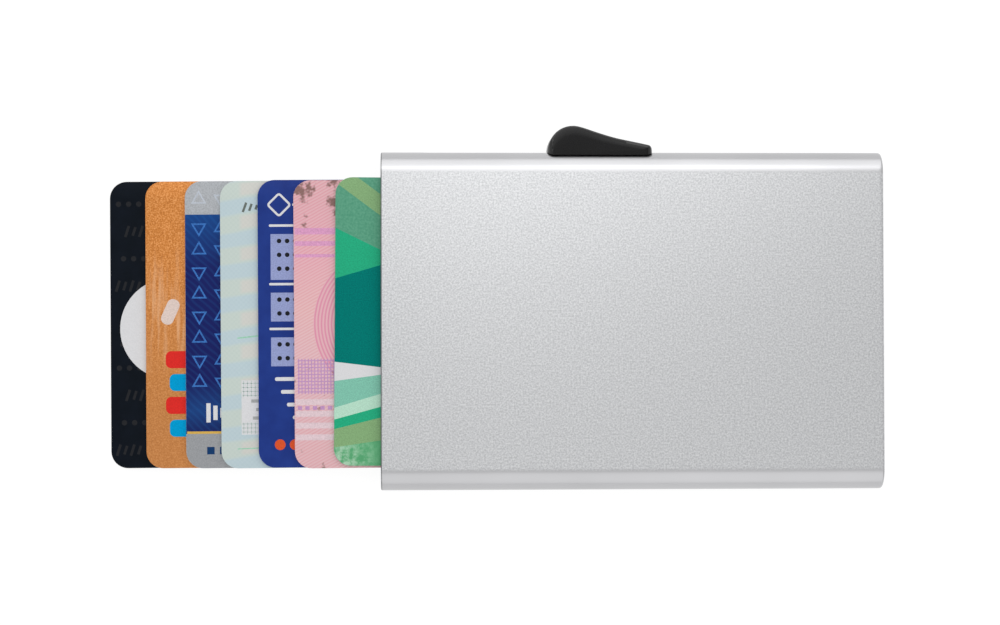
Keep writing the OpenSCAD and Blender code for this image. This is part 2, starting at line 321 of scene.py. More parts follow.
def anodised_aluminium():
    made, tree, shader = new_material("bead_blasted_anodised_aluminium")
    place = add(tree, "TexCoord").outputs["Object"]
    grain = add(tree, "TexNoise", {"Vector": place, "Scale": 1 / (grain_mm * MM), "Detail": 2.0,
        "Roughness": 0.7})
    cloud = add(tree, "TexNoise", {"Vector": place, "Scale": 1 / (cloud_mm * MM), "Detail": 1.0})
    across = add(tree, "SeparateXYZ", {"Vector": place})
    side = add(tree, "Math", {0: across.outputs["Y"]}, operation="ABSOLUTE")
    inner = add(tree, "MapRange", {"Value": side, "From Min": (flat_half - 0.2) * MM,
        "From Max": (flat_half + 0.5) * MM, "To Min": 1.0, "To Max": 0.0})
    height = add(tree, "Math", {0: across.outputs["Z"], 1: middle_z * MM}, operation="SUBTRACT")
    height = add(tree, "Math", {0: height}, operation="ABSOLUTE")
    outer = add(tree, "MapRange", {"Value": height, "From Min": (middle_z - 0.5) * MM,
        "From Max": (middle_z - 0.1) * MM})
    flat = add(tree, "Math", {0: inner, 1: outer}, operation="MULTIPLY")
    speckle = add(tree, "ValToRGB", {"Fac": grain},
        stops=[(0.36, "#b9babc"), (0.5, "#cacbcd"), (0.66, "#dbdcdd")])
    # The smooth edges' darker colour is painted shade that darkens their reflections.
    smooth_edge_painted_shade = add(tree, "ValToRGB", {"Fac": cloud}, stops=[(0.3, "#b9b9bb"), (0.7, "#bebec0")])
    colour = add(tree, "Mix", {"Factor": flat, "A": smooth_edge_painted_shade, "B": speckle}, data_type="RGBA")
    rough = add(tree, "MapRange", {"Value": flat, "To Min": 0.3, "To Max": 0.37})
    depth = add(tree, "Math", {0: grain, 1: flat}, operation="MULTIPLY")
    bump = add(tree, "Bump", {"Height": depth, "Strength": 0.3, "Distance": 0.02 * MM})
    fill(tree, shader, {"Base Color": colour, "Roughness": rough, "Normal": bump, "Metallic": 1.0})
    return made


aluminium = anodised_aluminium()
print("Grain:", grain_mm, "mm, flat out to", round(flat_half, 2), "mm")

# %% [markdown]
# The extrusion is sawn to length and its mouth is deburred. The tool leaves fine marks across the wall. The
# facet it cuts gets a much darker colour than the sleeve, a painted shade that draws the mouth as a thin
# dark line. The marks are drawn a fifth of a millimetre apart.

# %% Sawn aluminium with painted shade
tool_mark_mm = 0.2


def sawn_aluminium_painted_shade():
    made, tree, shader = new_material("deburred_aluminium_painted_shade")
    place = add(tree, "TexCoord").outputs["Object"]
    scale = 1 / (tool_mark_mm * MM)
    across = add(tree, "Mapping", {"Vector": place, "Scale": (scale / 10, scale, scale)})
    marks = add(tree, "TexNoise", {"Vector": across, "Scale": 1.0, "Detail": 2.0})
    # These dark colours are painted shade for the mouth's thin dark line.
    colour = add(tree, "ValToRGB", {"Fac": marks}, stops=[(0.3, "#818284"), (0.7, "#98999b")])
    bump = add(tree, "Bump", {"Height": marks, "Strength": 0.3, "Distance": 0.01 * MM})
    fill(tree, shader, {"Base Color": colour, "Roughness": 0.32, "Normal": bump, "Metallic": 1.0})
    return made


mouth_painted_shade = sawn_aluminium_painted_shade()
print("Tool marks:", tool_mark_mm, "mm")

# %% [markdown]
# ## The sleeve
# An extrusion is made by pushing soft metal through a die, so the piece is made the same
# way: the die's opening is drawn as a flat ring in the plane across the sleeve, and the ring
# is then pushed along X. The ring comes from one rectangle whose corners are rounded and
# which is then drawn in by the wall's thickness.

# %% Sleeve
cap_low, cap_high = box_mm("end_cap")
wall = 1.1
round_steps = 16
mouth_chamfer = 0.25
rib_size = 0.5
rib_setback = 0.05
rib_y = 28.31
to_yz = Matrix(((0, 0, 1, 0), (1, 0, 0, 0), (0, 1, 0, 0), (0, 0, 0, 1)))


def section():
    """The sleeve's section as one flat face across X."""
    size = sleeve_high - sleeve_low
    bm = sheet(size.y, size.z)
    round_off(bm, bm.verts[:], "VERTICES", round_r, round_steps)
    bmesh.ops.transform(bm, matrix=Matrix.Translation((0, 0, middle_z)) @ to_yz, verts=bm.verts)
    return bm


def push(bm, start, end):
    """Pushes the flat faces of a bmesh along X, from one place to another."""
    bmesh.ops.translate(bm, vec=(start, 0, 0), verts=bm.verts)
    extrude(bm, bm.faces[:], (end - start, 0, 0))


def near_x(edge, x):
    return all(abs(v.co.x - x) < 0.01 for v in edge.verts)


def block(bm, low, high):
    """Adds a plain block between two corners."""
    low, high = Vector(low), Vector(high)
    middle = Matrix.Translation((low + high) / 2) @ Matrix.Diagonal((*(high - low), 1))
    return bmesh.ops.create_cube(bm, size=1, matrix=middle)


def extrusion():
    """The sleeve's tube, with its mouth's outer rim broken."""
    bm = section()
    inner = bmesh.ops.inset_region(bm, faces=bm.faces[:], thickness=wall, use_boundary=True,
        use_even_offset=True)
    ring = set(inner["faces"])
    bmesh.ops.delete(bm, geom=[f for f in bm.faces if f not in ring], context="FACES_ONLY")
    push(bm, sleeve_low.x, sleeve_high.x)
    rim = [e for e in bm.edges if near_x(e, sleeve_low.x) and is_outer(e)]
    round_off(bm, rim, "EDGES", mouth_chamfer, 2)
    return bm


def add_rib(bm, side, face):
    """Adds one of the four inner ribs: side is -1 or 1 along Y, and face along Z."""
    root = middle_z + face * (sleeve_high.z - middle_z - wall / 2)
    tip = middle_z + face * (sleeve_high.z - middle_z - wall - rib_size)
    block(bm, (sleeve_low.x + rib_setback, side * rib_y - rib_size / 2, min(root, tip)),
        (sleeve_high.x, side * rib_y + rib_size / 2, max(root, tip)))


def is_outer(edge):
    """Whether both ends of an edge lie on the sleeve's outer skin."""
    return all(from_core(v.co) > round_r - wall / 2 for v in edge.verts)


def from_core(point):
    """Distance from the flat core that the sleeve's section is drawn round."""
    core_y = max(-flat_half, min(flat_half, point.y))
    core_z = max(sleeve_low.z + round_r, min(sleeve_high.z - round_r, point.z))
    return math.hypot(point.y - core_y, point.z - core_z)


print("Wall:", wall, "mm, rounded edges:", round_r, "mm")

# %% [markdown]
# The slider's stem needs a slot in the sleeve's edge. A rod with round ends is made where the
# slot goes, and a Boolean modifier takes it out of the shell. It works in millimetres,
# because at the size of metres such small shapes are lost in its rounding.

# %% Slot
slot_near, slot_far, slot_half = 7.75, 48.75, 1.12
slot_steps = 8
rod_length = 4
mouth = sleeve_low.x


def as_object(bm, name):
    """A bmesh as an object of its own."""
    bmesh.ops.recalc_face_normals(bm, faces=bm.faces)
    data = bpy.data.meshes.new(name)
    bm.to_mesh(data)
    bm.free()
    made = bpy.data.objects.new(name, data)
    scene.collection.objects.link(made)
    return made


def cut(stock, rod):
    """Takes one bmesh out of another, and gives the rest as a new bmesh."""
    stock, rod = as_object(stock, "stock"), as_object(rod, "rod")
    modifier = stock.modifiers.new("cut", "BOOLEAN")
    modifier.operation = "DIFFERENCE"
    modifier.solver = "EXACT"
    modifier.object = rod
    shaped = stock.evaluated_get(bpy.context.evaluated_depsgraph_get()).to_mesh()
    rest = bmesh.new()
    rest.from_mesh(shaped)
    for used in (stock, rod):
        bpy.data.objects.remove(used)
    return rest


turn_up = Matrix.Rotation(math.radians(90), 4, "X")
slot_rod = plate((mouth + slot_near, middle_z - slot_half, 0),
    (mouth + slot_far, middle_z + slot_half, rod_length), slot_half - 0.01, slot_steps)
bmesh.ops.transform(slot_rod, matrix=Matrix.Translation((0, sleeve_high.y + 1, 0)) @ turn_up,
    verts=slot_rod.verts)
shell_mesh = cut(extrusion(), slot_rod)
for side in (-1, 1):
    for face in (-1, 1):
        add_rib(shell_mesh, side, face)
# Faces at the mouth get the aluminium with painted shade.
for face in shell_mesh.faces:
    face.material_index = int(face.calc_center_median().x < mouth + mouth_chamfer)
shell = piece(shell_mesh, "sleeve_shell", [aluminium, mouth_painted_shade], "sleeve", "housing")

# %% [markdown]
# ## The end plate
# A thin plate of the same outline closes the far end. Its rim is rounded, so the photograph
# shows a fine darker line there, and a collar behind it holds it in the sleeve.

# %% End plate
cap_t = cap_high.x - sleeve_high.x
cap_round = 0.45
collar_half, collar_overlap = 2.6, 0.1

cap_mesh = section()
push(cap_mesh, cap_high.x - cap_t, cap_high.x)
round_off(cap_mesh, [e for e in cap_mesh.edges if near_x(e, cap_high.x)], "EDGES", cap_round, 5)
block(cap_mesh, (cap_low.x, -rib_y + rib_size, middle_z - collar_half),
    (sleeve_high.x + collar_overlap, rib_y - rib_size, middle_z + collar_half))
end_plate = piece(cap_mesh, "end_plate", [aluminium], "sleeve", "end_cap")

# %% [markdown]
# ## The thumb slider
# The button is one moulding in black plastic: a low hump that thins out to the rear. Seen
# along its width it is a single outline, drawn here with four Bezier curves whose corners
# are shares of its length and height. The outline becomes a face at the middle of the
# width, which is pushed out in steps. The last steps are also drawn in, first to round the
# rim, and then to crown the side a little. Thumbs polish a button along its rim first, so
# the rim gets a shinier finish, which catches the fine grey highlight.

# %% Black moulding
mould_grain_mm = 0.12
mould_flow_mm = 5


def black_moulding(name, dark, light, roughness, specular=0.5):
    """Moulded plastic with the faint grain of a spark-eroded mould, which breaks up its sheen."""
    made, tree, shader = new_material(name)
    place = add(tree, "TexCoord").outputs["Object"]
    grain = add(tree, "TexNoise", {"Vector": place, "Scale": 1 / (mould_grain_mm * MM), "Detail": 2.0})
    flow = add(tree, "TexNoise", {"Vector": place, "Scale": 1 / (mould_flow_mm * MM), "Detail": 2.0})
    colour = add(tree, "ValToRGB", {"Fac": flow}, stops=[(0.3, dark), (0.7, light)])
    rough = add(tree, "MapRange", {"Value": grain, "From Min": 0.3, "From Max": 0.7,
        "To Min": roughness - 0.05, "To Max": roughness + 0.08})
    bump = add(tree, "Bump", {"Height": grain, "Strength": 0.25, "Distance": 0.01 * MM})
    fill(tree, shader, {"Base Color": colour, "Roughness": rough, "Normal": bump, "IOR": 1.49,
        "Specular IOR Level": specular})
    return made


button_black = black_moulding("satin_black_abs", "#060607", "#0a0a0b", 0.24, 0.24)
rubbed_black = black_moulding("thumb_polished_black_abs", "#060607", "#0a0a0b", 0.2, 0.6)
print("Mould grain:", mould_grain_mm, "mm")

# %% Button
button_low, button_high = box_mm("thumb_button")
button_l = button_high.x - button_low.x
button_h = button_high.y - sleeve_high.y
button_half = (button_high.z - button_low.z) / 2
rim = 0.4
crown = 0.2
corner = 1.1
foot_gap = 0.12
skirt = 2.0
crown_x, crown_y = -0.35 * button_l, skirt - 0.7
shrink_x, shrink_y = 0.12, 0.28
rubbed_from, rubbed_to = 0.25, 0.95
curve_steps = 14
rim_steps = 6
corner_turns = (0, 15, 30, 45, 60, 75, 90)
peg_inset, peg_r, peg_length, peg_y = 3.5, 0.8, 3.4, sleeve_high.y - 1.9
stem_inset, stem_half = 2.5, 1
stem_low, stem_high = sleeve_high.y - 1.16, sleeve_high.y + 0.18
CURVES = [
    [(0, 0), (0, 0.45), (0.088, 1), (0.245, 1)],
    [(0.245, 1), (0.325, 1), (0.422, 0.778), (0.651, 0.534)],
    [(0.651, 0.534), (0.699, 0.483), (0.853, 0.364), (0.964, 0.264)],
    [(0.964, 0.264), (0.982, 0.247), (1, 0.18), (1, 0)],
]


def button_outline():
    """The outline's points in the plane of length and height, from the front foot round to the rear."""
    points = []
    for shares in CURVES:
        corners = [Vector((x * button_l, y * button_h, 0)) for x, y in shares]
        points += interpolate_bezier(*corners, curve_steps + 1)[:-1]
    return points + [Vector((button_l, 0, 0)), Vector((button_l, -skirt, 0)), Vector((0, -skirt, 0))]


def plan_share(x):
    """The button's half width at a place along it, as a share of its full half width."""
    from_end = max(0.0, min(x, button_l - x))
    if from_end >= corner:
        return 1.0
    return (button_half - corner + math.sqrt(corner ** 2 - (corner - from_end) ** 2)) / button_half


def edge_drop(z):
    """How far the sleeve's rounded edge lies below its crown, off the middle."""
    off = max(0.0, abs(z) - (sleeve_high.z - middle_z - round_r))
    return round_r - math.sqrt(round_r ** 2 - off ** 2)


def crown_side(bm, face, rings=4):
    """Raises a side face to a low crown, in rings that shrink towards a point low in the hump."""
    centre = Matrix.Translation((crown_x, crown_y, 0))
    last = Vector((1, 1))
    for ring in range(1, rings + 1):
        share = ring / rings
        rise = crown * (2 / rings - (2 * ring - 1) / rings ** 2)
        size = Vector((1 - shrink_x * share, 1 - shrink_y * share))
        bmesh.ops.inset_region(bm, faces=[face], thickness=0, depth=rise, use_boundary=True)
        bmesh.ops.scale(bm, vec=(size.x / last.x, size.y / last.y, 1), space=centre, verts=face.verts)
        last = size


def make_button():
    bm = bmesh.new()
    face = bm.faces.new([bm.verts.new(p) for p in button_outline()])
    bm.normal_update()
    if face.normal.z < 0:
        face.normal_flip()
    turns = [math.radians(15 * i) for i in range(rim_steps)]
    straight = button_half - crown - rim * math.sin(turns[-1])
    for step in range(5):
        bmesh.ops.inset_region(bm, faces=[face], thickness=0, depth=straight / 5, use_boundary=True)
    for a, b in zip(turns, turns[1:]):
        bmesh.ops.inset_region(bm, faces=[face], thickness=rim * (math.cos(a) - math.cos(b)),
            depth=rim * (math.sin(b) - math.sin(a)), use_boundary=True, use_even_offset=True)
    crown_side(bm, face)
    for turn in corner_turns:
        inward = corner * (1 - math.cos(math.radians(turn)))
        for x in (inward + 0.001, button_l - inward - 0.001):
            slice_at(bm, (x, 0, 0), (1, 0, 0))
    for v in bm.verts:
        v.co.z *= plan_share(v.co.x)
        if v.co.y < -skirt + 1:
            v.co.y += skirt + foot_gap - edge_drop(v.co.z)
    bmesh.ops.mirror(bm, geom=bm.verts[:] + bm.edges[:] + bm.faces[:], merge_dist=0.001, axis="Z")
    bmesh.ops.translate(bm, vec=(button_low.x, sleeve_high.y, middle_z), verts=bm.verts)
    bm.normal_update()
    for face in bm.faces:
        face.material_index = int(rubbed_from < abs(face.normal.z) < rubbed_to)
    return bm


button_mesh = make_button()
for peg_x in (button_low.x + peg_inset, button_high.x - peg_inset):
    upright = Matrix.Translation((peg_x, peg_y, middle_z)) @ turn_up
    bmesh.ops.create_cone(button_mesh, cap_ends=True, segments=32, radius1=peg_r, radius2=peg_r,
        depth=peg_length, matrix=upright)
block(button_mesh, (button_low.x + stem_inset, stem_low, middle_z - stem_half),
    (button_high.x - stem_inset, stem_high, middle_z + stem_half))
button = piece(button_mesh, "thumb_slider", [button_black, rubbed_black], "slider", "thumb_button")

# %% [markdown]
# ## The cards
# Bank cards are white PVC with a printed film on each face, pressed together and punched
# out. The print lies under a clear satin film, so all the colours share one soft sheen with
# fine scratches in it. A card's own coordinates start at its lower left corner, in
# millimetres. One matrix leads from there to the card's place in the fan, where it lies a
# little askew and low in its bay, as in the CAD model.

# %% Card sizes and places
CARD_L, CARD_H, CARD_T = 85.6, 53.98, 0.76
card_corner = 3.18
card_play = 0.61
SKEW_SHARES = {"black": 0.48, "orange": 0.41, "navy": 0.48, "pale": 0.48, "blue": 0.37, "pink": 0.43,
    "green": -0.48}


def card_place(name):
    """The matrix from a card's own millimetres to its place in the fan."""
    low, high = box_mm(name + "_card")
    skew = math.asin(SKEW_SHARES[name] * card_play / (CARD_L / 2))
    centre = Vector(((low.x + high.x) / 2, (low.y + high.y) / 2, low.z))
    return (Matrix.Translation(centre) @ Matrix.Rotation(skew, 4, "Z")
        @ Matrix.Translation((-CARD_L / 2, -CARD_H / 2, 0)))


for name in SKEW_SHARES:
    print(name, "card stands at x =", round(card_place(name).translation.x, 2), "mm")

# %% [markdown]
# A pattern that follows the print needs the card's own coordinates in the shader too. A
# Mapping node turns the object's coordinates into them with the inverse of that matrix.
# Three small functions then make the printed surfaces: one lays the clear film over a
# colour, one lets that colour drift a little, and one makes a plain ink, which offset
# printing lays down as uneven dots.

# %% Printed films
dot_mm = 0.22


def shade(code, share):
    """A hex colour made lighter or darker by a share."""
    return "#" + "".join(f"{min(255, round(int(code[i:i + 2], 16) * share)):02x}" for i in (1, 3, 5))


def in_mm(tree, card=None):
    """Coordinates in millimetres, from a card's lower left corner if one is named."""
    inputs = {"Vector": add(tree, "TexCoord").outputs["Object"], "Scale": (1 / MM,) * 3}
    if card:
        back = card_place(card).inverted()
        inputs |= {"Location": back.translation, "Rotation": back.to_euler()}
    return add(tree, "Mapping", inputs)


def film(tree, shader, where, colour, roughness=0.4, specular=0.1):
    """Lays the clear film over a print: its sheen, with handling scratches that scatter it."""
    drawn = add(tree, "Mapping", {"Vector": where, "Rotation": (0, 0, 0.5), "Scale": (0.12, 3.5, 1)})
    scratch = add(tree, "TexNoise", {"Vector": drawn, "Scale": 1.0, "Detail": 3.0})
    rough = add(tree, "MapRange", {"Value": scratch, "From Min": 0.35, "From Max": 0.75,
        "To Min": roughness - 0.05, "To Max": roughness + 0.15})
    bump = add(tree, "Bump", {"Height": scratch, "Strength": 0.12, "Distance": 0.004 * MM})
    fill(tree, shader, {"Base Color": colour, "Roughness": rough, "Normal": bump, "IOR": 1.5,
        "Specular IOR Level": specular})


def clouded_film(name, card, scale, detail, stops, roughness=0.4, specular=0.1):
    """A print of one colour that varies a little from place to place."""
    made, tree, shader = new_material(name)
    where = in_mm(tree, card)
    cloud = add(tree, "TexNoise", {"Vector": where, "Scale": scale, "Detail": detail})
    film(tree, shader, where, add(tree, "ValToRGB", {"Fac": cloud}, stops=stops), roughness, specular)
    return made


def print_ink(name, code, spread=0.05, specular=0.1, roughness=0.4):
    """A field of one printed colour, uneven from dot to dot."""
    stops = [(0.3, shade(code, 1 - spread)), (0.7, shade(code, 1 + spread))]
    return clouded_film(name, None, 1 / dot_mm, 1.0, stops, roughness, specular)


white_ink = print_ink("white_ink", "#c7c7c9", 0.02)
gold_contact = print_ink("gold_plated_contact", "#c9a24a", 0.06, 0.6, 0.25)
contact_line = print_ink("etched_contact_line", "#4a3c20")
magnetic_stripe = print_ink("magnetic_oxide_stripe", "#1d1613", 0.08, 0.4, 0.25)
signature_panel = print_ink("matt_paper_panel", "#d5d3cc", 0.04, 0.05, 0.6)
print("A print dot is drawn", dot_mm, "mm wide")

# %% [markdown]
# The blank is a plate with rounded corners and a finely broken rim. Large fields of colour
# are cut into its face with straight cuts. Small printed shapes are laid on it as films of
# ink a few thousandths of a millimetre thick, all with one function, because a disc is only
# a polygon with many sides.

# %% Blank and print
FACE, CORE, STRIPE, PANEL = range(4)
ink_t = 0.003
ink_sink = 0.002
punched_rim = 0.06
corner_steps = 10
stripe_low, stripe_high = 37.6, 50.3
panel_low, panel_high, panel_left, panel_right = 21, 31, 8, 66


def blank_card():
    """A card in its own millimetres. Its cut edge shows the core."""
    bm = plate((0, 0, 0), (CARD_L, CARD_H, CARD_T), card_corner, corner_steps)
    bmesh.ops.recalc_face_normals(bm, faces=bm.faces)
    round_off(bm, [e for e in bm.edges if e.calc_face_angle() > 1], "EDGES", punched_rim, 2)
    for face in bm.faces:
        face.material_index = FACE if abs(face.normal.z) > 0.5 else CORE
    return bm


def field(bm, slot, *lines, side=1):
    """Prints what of a face lies left of each line. A line is two points, and side -1 is the back."""
    halves = []
    for (u0, v0), (u1, v1) in lines:
        normal = Vector((v0 - v1, u1 - u0, 0)).normalized()
        point = Vector((u0, v0, 0))
        slice_at(bm, point, normal)
        halves.append((point, normal))
    for face in bm.faces:
        centre = face.calc_center_median()
        if face.normal.z * side > 0.5 and all((centre - point).dot(normal) > 0 for point, normal in halves):
            face.material_index = slot


def shape(bm, slot, u, v, w, h, sides=4, turn=0.0, corner=0.0, hollow=0.0, level=1):
    """Prints a polygon or disc: middle, width and height, turn in degrees, a rim's width if hollow."""
    place = (Matrix.Translation((u, v, CARD_T - ink_sink)) @ Matrix.Rotation(math.radians(turn), 4, "Z")
        @ Matrix.Diagonal((w, h, 1, 1)) @ Matrix.Rotation(math.pi / sides, 4, "Z"))
    corners = bmesh.ops.create_circle(bm, cap_ends=True, segments=sides,
        radius=0.5 / math.cos(math.pi / sides), matrix=place)["verts"]
    if corner:
        corners = round_off(bm, corners, "VERTICES", corner, 5)["verts"]
    faces = list({face for vert in corners for face in vert.link_faces})
    if hollow:
        ring = bmesh.ops.inset_region(bm, faces=faces, thickness=hollow, use_boundary=True,
            use_even_offset=True)
        bmesh.ops.delete(bm, geom=faces, context="FACES_ONLY")
        faces = ring["faces"]
    for face in faces:
        face.material_index = slot
    extrude(bm, faces, (0, 0, ink_sink + level * ink_t))


def chip(bm, plate_slot, line_slot, u=66, v=31):
    """Prints the contact plate of a chip, split into eight fields by fine lines."""
    shape(bm, plate_slot, u, v, 12.4, 10.8, corner=1.8)
    shape(bm, line_slot, u, v, 4.6, 5.4, corner=1.2, hollow=0.14, level=2)
    for side in (-1, 1):
        for row in (-1, 0, 1):
            shape(bm, line_slot, u + side * 4.2, v + row * 2.4, 3.9, 0.14, level=2)
        shape(bm, line_slot, u, v + side * 4.0, 0.14, 2.7, level=2)


def make_card(name, face, core, inks, draw):
    """Draws one card and lays it in the fan. Core is the colour of its cut edge. Inks are its further
    inks by name, each as a material or as what print_ink takes."""
    bm = blank_card()
    field(bm, STRIPE, ((0, stripe_low), (1, stripe_low)), ((1, stripe_high), (0, stripe_high)), side=-1)
    field(bm, PANEL, ((0, panel_low), (1, panel_low)), ((1, panel_high), (0, panel_high)),
        ((panel_left, 1), (panel_left, 0)), ((panel_right, 0), (panel_right, 1)), side=-1)
    draw(bm, {ink: PANEL + 1 + i for i, ink in enumerate(inks)})
    bmesh.ops.transform(bm, matrix=card_place(name), verts=bm.verts)
    materials = [face, print_ink(name + "_card_core", core), magnetic_stripe, signature_panel]
    for ink, recipe in inks.items():
        ready = isinstance(recipe, bpy.types.Material)
        materials.append(recipe if ready else print_ink(ink + "_ink", *recipe))
    made = piece(bm, name + "_printed_card", materials, name + "_card", name + "_card")


print("Ink film:", ink_t, "mm")

# %% [markdown]
# Each card gets a plain design of its own. The black one carries rows of faint grey dots and
# strokes, and one large pale disc.

# %% Black card


def draw_black(bm, ink):
    for row in range(10):
        v = 3.4 + 5.15 * row
        for column in range(10):
            u = 3.2 + 8.4 * column + 0.9 * (row % 3)
            if row % 2:
                for dot in range(3):
                    shape(bm, ink["faint_grey"], u - 1.6 + 1.9 * dot, v, 1.0, 1.0, sides=16)
            else:
                for bar in range(4):
                    shape(bm, ink["faint_grey"], u - 1.8 + 1.3 * bar, v, 0.5, 2.2 - 0.5 * (bar % 2),
                        turn=-18)
    shape(bm, ink["white"], 11.4, 26.2, 19.2, 19.2, sides=64, level=2)
    chip(bm, ink["gold"], ink["line"])


black_film = clouded_film("deep_black_card_film", "black", 0.35, 3.0, [(0.3, "#080e15"), (0.7, "#0c121b")],
    0.42, 0.05)
make_card("black", black_film, "#2b2c30", {"faint_grey": ["#212225", 0.05, 0.05], "white": white_ink,
    "gold": gold_contact, "line": contact_line}, draw_black)

# %% [markdown]
# The orange card is printed on a metallic film. Fine flakes make it sparkle, its colour turns darker and
# duller towards the bottom, and years in a pocket have rubbed pale streaks into its middle. Red and light
# blue bars lie in its lower half, with cream strokes above them.

# %% Orange card


def orange_face():
    made, tree, shader = new_material("metallic_orange_card_film")
    where = in_mm(tree, "orange")
    flakes = add(tree, "TexNoise", {"Vector": where, "Scale": 3.6, "Detail": 2.0, "Roughness": 0.7})
    metal = add(tree, "ValToRGB", {"Fac": flakes},
        stops=[(0.3, "#a4622a"), (0.5, "#c17a39"), (0.7, "#dc9a5f")])
    height = add(tree, "SeparateXYZ", {"Vector": where}).outputs["Y"]
    # The colour is mixed darker and duller towards the bottom of the card.
    darker_toward_bottom = add(tree, "MapRange", {"Value": height, "From Min": 42.0, "From Max": 8.0, "To Max": 0.5})
    worn = add(tree, "Mix", {"Factor": darker_toward_bottom, "A": metal, "B": srgb("#ad7648")}, data_type="RGBA")
    drawn = add(tree, "Mapping", {"Vector": where, "Rotation": (0, 0, 0.12), "Scale": (1.1, 0.09, 1)})
    streaks = add(tree, "TexNoise", {"Vector": drawn, "Scale": 1.0, "Detail": 5.0})
    rubbed = add(tree, "MapRange", {"Value": streaks, "From Min": 0.48, "From Max": 0.66, "To Max": 0.5})
    above = add(tree, "MapRange", {"Value": height, "From Min": 42.0, "From Max": 35.0})
    below = add(tree, "MapRange", {"Value": height, "From Min": 17.0, "From Max": 25.0})
    middle = add(tree, "Math", {0: above, 1: below}, operation="MULTIPLY")
    both = add(tree, "Math", {0: rubbed, 1: middle}, operation="MULTIPLY")
    colour = add(tree, "Mix", {"Factor": both, "A": worn, "B": srgb("#dcae86")}, data_type="RGBA")
    film(tree, shader, where, colour, 0.38, 0.15)
    fill(tree, shader, {"Metallic": 0.25})
    return made


def draw_orange(bm, ink):
    for row, name in enumerate(("red", "cyan", "red", "cyan")):
        shape(bm, ink[name], 10.2 + 0.7 * (row % 2), 20.4 - 4.3 * row, 13.0, 3.2, corner=1.0)
    shape(bm, ink["cream"], 4.6, 29.4, 2.4, 5.0, turn=-24, corner=1.1)
    shape(bm, ink["cream"], 9.6, 29.4, 2.4, 5.0, turn=-24, corner=1.1)
    for row in range(3):
        shape(bm, ink["cream"], 46, 14 - 3.2 * row, 30 - 6 * row, 1.1, corner=0.5)
    chip(bm, ink["gold"], ink["line"])


make_card("orange", orange_face(), "#c08046",
    {"cyan": ["#008dbe", 0.05, 0.03], "red": ["#c8241f"], "cream": ["#cbb9b1"], "gold": gold_contact,
    "line": contact_line}, draw_orange)

# %% [markdown]
# The navy card has silver bands along its two long edges. Between them stand straight rows
# of small outlined triangles that point up and down by turns, over a net of finer lines.

# %% Navy card


def navy_face():
    made, tree, shader = new_material("navy_card_film")
    where = in_mm(tree, "navy")
    lines = add(tree, "TexWave", {"Vector": where, "Scale": 0.42, "Distortion": 6.0, "Detail": 1.0,
        "Detail Scale": 0.3}, bands_direction="DIAGONAL")
    fine = add(tree, "ValToRGB", {"Fac": lines.outputs["Fac"]}, stops=[(0.5, "#141c58"), (0.9, "#1d4480")])
    height = add(tree, "SeparateXYZ", {"Vector": where}).outputs["Y"]
    deep = add(tree, "ValToRGB", {"Fac": add(tree, "MapRange", {"Value": height, "From Max": CARD_H})},
        stops=[(0.13, "#152457"), (0.2, "#1a4079"), (0.3, "#161c54"), (0.7, "#161f58"), (0.88, "#184684")])
    colour = add(tree, "Mix", {"Factor": 0.22, "A": deep, "B": fine}, data_type="RGBA")
    film(tree, shader, where, colour, specular=0.05)
    return made


def triangle_row(bm, slot, v, first):
    """A row of outlined triangles that point up and down by turns."""
    for column in range(20):
        shape(bm, slot, 2.6 + 4.2 * column, v, 1.7, 1.7, sides=3, turn=180 * ((column + first) % 2),
            hollow=0.3)


def draw_navy(bm, ink):
    field(bm, ink["silver"], ((0, 47.7), (1, 47.7)))
    field(bm, ink["steel_grey"], ((1, 6.5), (0, 6.5)))
    shape(bm, ink["yellow"], CARD_L / 2, 6.7, CARD_L - 0.4, 0.45)
    triangle_row(bm, ink["frost"], 50.6, 1)
    for row in range(8):
        triangle_row(bm, ink["light_blue"], 45.2 - 4.15 * row, row)
    for bar in range(3):
        shape(bm, ink["white"], 4.2 + 1.3 * bar, 10.4, 0.8, 3.6 - 0.9 * bar)
    for square in range(3):
        shape(bm, ink["ocean_blue"], 4.6 + 2.4 * square, 3.3, 1.4, 1.4)


make_card("navy", navy_face(), "#c3c8d0", {"silver": ["#9ea1a5", 0.07], "steel_grey": ["#8c8e91"],
    "frost": ["#abb1ba"], "yellow": ["#c39d4a"], "light_blue": ["#3566a8", 0.12, 0.05], "white": white_ink,
    "ocean_blue": ["#123560", 0.05, 0.05]}, draw_navy)

# %% [markdown]
# The pale card is all soft slanting bands of mint and blue, with cream patches on every
# other band. One wave texture gives both: a colour ramp reads it as the bands, and its
# crests carry the cream.

# %% Pale card


def pale_face():
    made, tree, shader = new_material("pale_card_film")
    where = in_mm(tree, "pale")
    leaning = add(tree, "Mapping", {"Vector": where, "Rotation": (0, 0, math.radians(-7))})
    wave = add(tree, "TexWave", {"Vector": leaning, "Scale": 0.052, "Distortion": 0.8, "Detail": 1.0,
        "Detail Scale": 1.2}, bands_direction="Y")
    bands = add(tree, "ValToRGB", {"Fac": wave.outputs["Fac"]},
        stops=[(0.3, "#aabcc3"), (0.45, "#b1bfbe"), (0.6, "#b5c0b9")])
    side = add(tree, "SeparateXYZ", {"Vector": where}).outputs["X"]
    right = add(tree, "MapRange", {"Value": side, "From Min": 3.4, "From Max": 4.2, "To Max": 0.8})
    crest = add(tree, "MapRange", {"Value": wave.outputs["Fac"], "From Min": 0.55, "From Max": 0.8})
    patch = add(tree, "Math", {0: right, 1: crest}, operation="MULTIPLY")
    creamy = add(tree, "Mix", {"Factor": patch, "A": bands, "B": srgb("#c4beb7")}, data_type="RGBA")
    weave = add(tree, "TexChecker", {"Vector": where, "Scale": 2.2, "Color1": srgb("#bdc6c4"),
        "Color2": srgb("#acbab9")})
    colour = add(tree, "Mix", {"Factor": 0.2, "A": creamy, "B": weave}, data_type="RGBA")
    film(tree, shader, where, colour)
    return made


